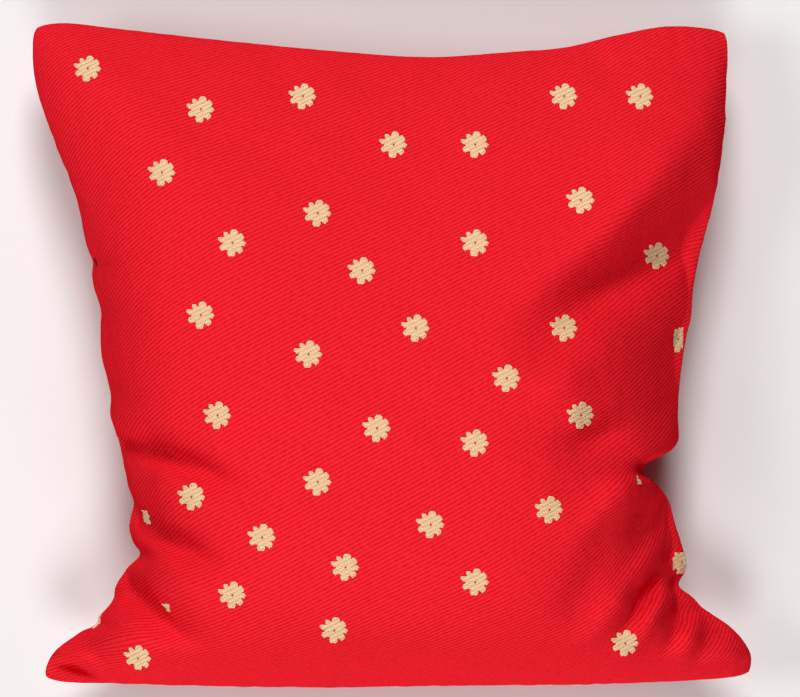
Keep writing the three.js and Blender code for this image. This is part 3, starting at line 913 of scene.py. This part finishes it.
class PILLOW_OT_flowers(bpy.types.Operator):
    """Weave the flowers: gold floats over a darker gold ground, its darkness painted shade where the floats
    part, laid on the cover's two panels
    """

    bl_idname = "pillow.flowers"
    bl_label = "Weave the Flowers"

    def execute(self, context):
        sizes, colours = context.scene.pillow_sizes, context.scene.pillow_colours
        panels = cover_panels()
        gold = mercerised_cotton("gold weft cotton", colours.gold, depth=0.88)
        # The ground's darker gold is painted shade in the ties where the floats part
        shaded_tie_gold = mercerised_cotton("gold binding cotton", colours.shaded_tie_gold, depth=0.6)
        for name, (template, faces), material in (
            ("flower_floats", float_mesh(flower_threads(sizes), sizes.pick / MM), gold),
            ("flower_ground", ground_mesh(sizes.flower / 2 / MM), shaded_tie_gold),
        ):
            for panel, centres, side, which in (
                (panels[0], FACE_FLOWERS, 1, "face"),
                (panels[1], BACK_FLOWERS, -1, "back"),
            ):
                laid = [(laid_at(panel, side, centre, template, *WHOLE), faces) for centre in centres]
                for row in HIDDEN_FLOWERS if side > 0 else ():
                    centre = (row["across"], row["level"])
                    whole = laid_at(panel, side, centre, template, *PARTLY_HIDDEN)
                    laid.append(kept_in_sight(whole, faces, row))
                first = np.cumsum([0] + [len(part) for part, _ in laid])
                every = np.concatenate([part + start for (_, part), start in zip(laid, first)])
                points = np.concatenate([part for part, _ in laid])
                piece = add_piece(f"{name}_{which}", points, every.tolist(), material)
                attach(piece, "root")
        return {"FINISHED"}


class PILLOW_OT_stage(bpy.types.Operator):
    """Set up the camera straight above the face, soft studio light and a plain pale floor"""

    bl_idname = "pillow.stage"
    bl_label = "Set Up the Stage"

    def execute(self, context):
        scene = context.scene
        # The frame is 800 by 697 dots and 216 mm wide at the height of the seam
        view_width, height, seam, sensor = 0.216, 1.25, 0.03, 36
        centre = (0.0022, 0.0015)
        camera = bpy.data.objects.new("camera", bpy.data.cameras.new("camera"))
        camera.data.sensor_width = sensor
        camera.data.lens = sensor * (height - seam) / view_width
        camera.location = (*centre, height)
        scene.collection.objects.link(camera)
        scene.camera = camera

        # Broad lights over the head, the foot and the left side of the pillow, and a low one at its foot
        for name, place, power in (
            ("head", (0, 1, 1.3), 19),
            ("foot", (0, -1, 1.3), 9.2),
            ("low foot", (0, -1.4, 0.4), 8),
            ("left", (-1, 0, 1.3), 6.4),
        ):
            light = bpy.data.objects.new(name, bpy.data.lights.new(name, "AREA"))
            light.data.shape = "DISK"
            light.data.size = 0.6
            light.data.energy = power
            light.location = place
            light.rotation_euler = (-Vector(place)).to_track_quat("-Z", "Y").to_euler()
            scene.collection.objects.link(light)

        world = bpy.data.worlds.new("studio")
        world.use_nodes = True
        feed(world.node_tree.nodes["Background"], {"Color": (1, 1, 1, 1), "Strength": 0.03})
        scene.world = world
        # The photo's contrast: slightly darker middle tones, and blacks deep enough that the darkest reds
        # stay pure
        view, black = scene.view_settings, 0.008
        view.view_transform = "Standard"
        view.gamma = 0.87
        view.use_curve_mapping = True
        view.curve_mapping.black_level = (black, black, black)
        view.curve_mapping.update()

        paper, _, shader = new_material("matt white paper")
        feed(shader, {"Base Color": linear("e5e5e5"), "Roughness": 0.9, "Specular IOR Level": 0.1})
        half = 1500.0
        corners = np.array([(-half, -half, 0), (half, -half, 0), (half, half, 0), (-half, half, 0)])
        floor = add_piece("floor", corners, [[0, 1, 2, 3]], paper, smooth=False)
        return {"FINISHED"}


class PILLOW_PT_panel(bpy.types.Panel):
    """Sizes, colours and the steps that make the pillow"""

    bl_label = "Stone Pine Pillow"
    bl_idname = "PILLOW_PT_panel"
    bl_space_type = "VIEW_3D"
    bl_region_type = "UI"
    bl_category = "Pillow"

    def draw(self, context):
        layout = self.layout
        for group in (context.scene.pillow_sizes, context.scene.pillow_colours):
            column = layout.column(align=True)
            for name in group.__annotations__:
                column.prop(group, name)
        for step in STEPS:
            layout.operator(step.bl_idname)


STEPS = (PILLOW_OT_stage, PILLOW_OT_cover, PILLOW_OT_stitches, PILLOW_OT_flowers)
CLASSES = (PillowSizes, PillowColours, *STEPS, PILLOW_PT_panel)


def register():
    for cls in CLASSES:
        bpy.utils.register_class(cls)
    bpy.types.Scene.pillow_sizes = PointerProperty(type=PillowSizes)
    bpy.types.Scene.pillow_colours = PointerProperty(type=PillowColours)


def unregister():
    del bpy.types.Scene.pillow_colours
    del bpy.types.Scene.pillow_sizes
    for cls in reversed(CLASSES):
        bpy.utils.unregister_class(cls)


def main():
    register()
    bpy.ops.pillow.stage()
    bpy.ops.pillow.cover()
    bpy.ops.pillow.stitches()
    bpy.ops.pillow.flowers()


if __name__ == "__main__":
    main()
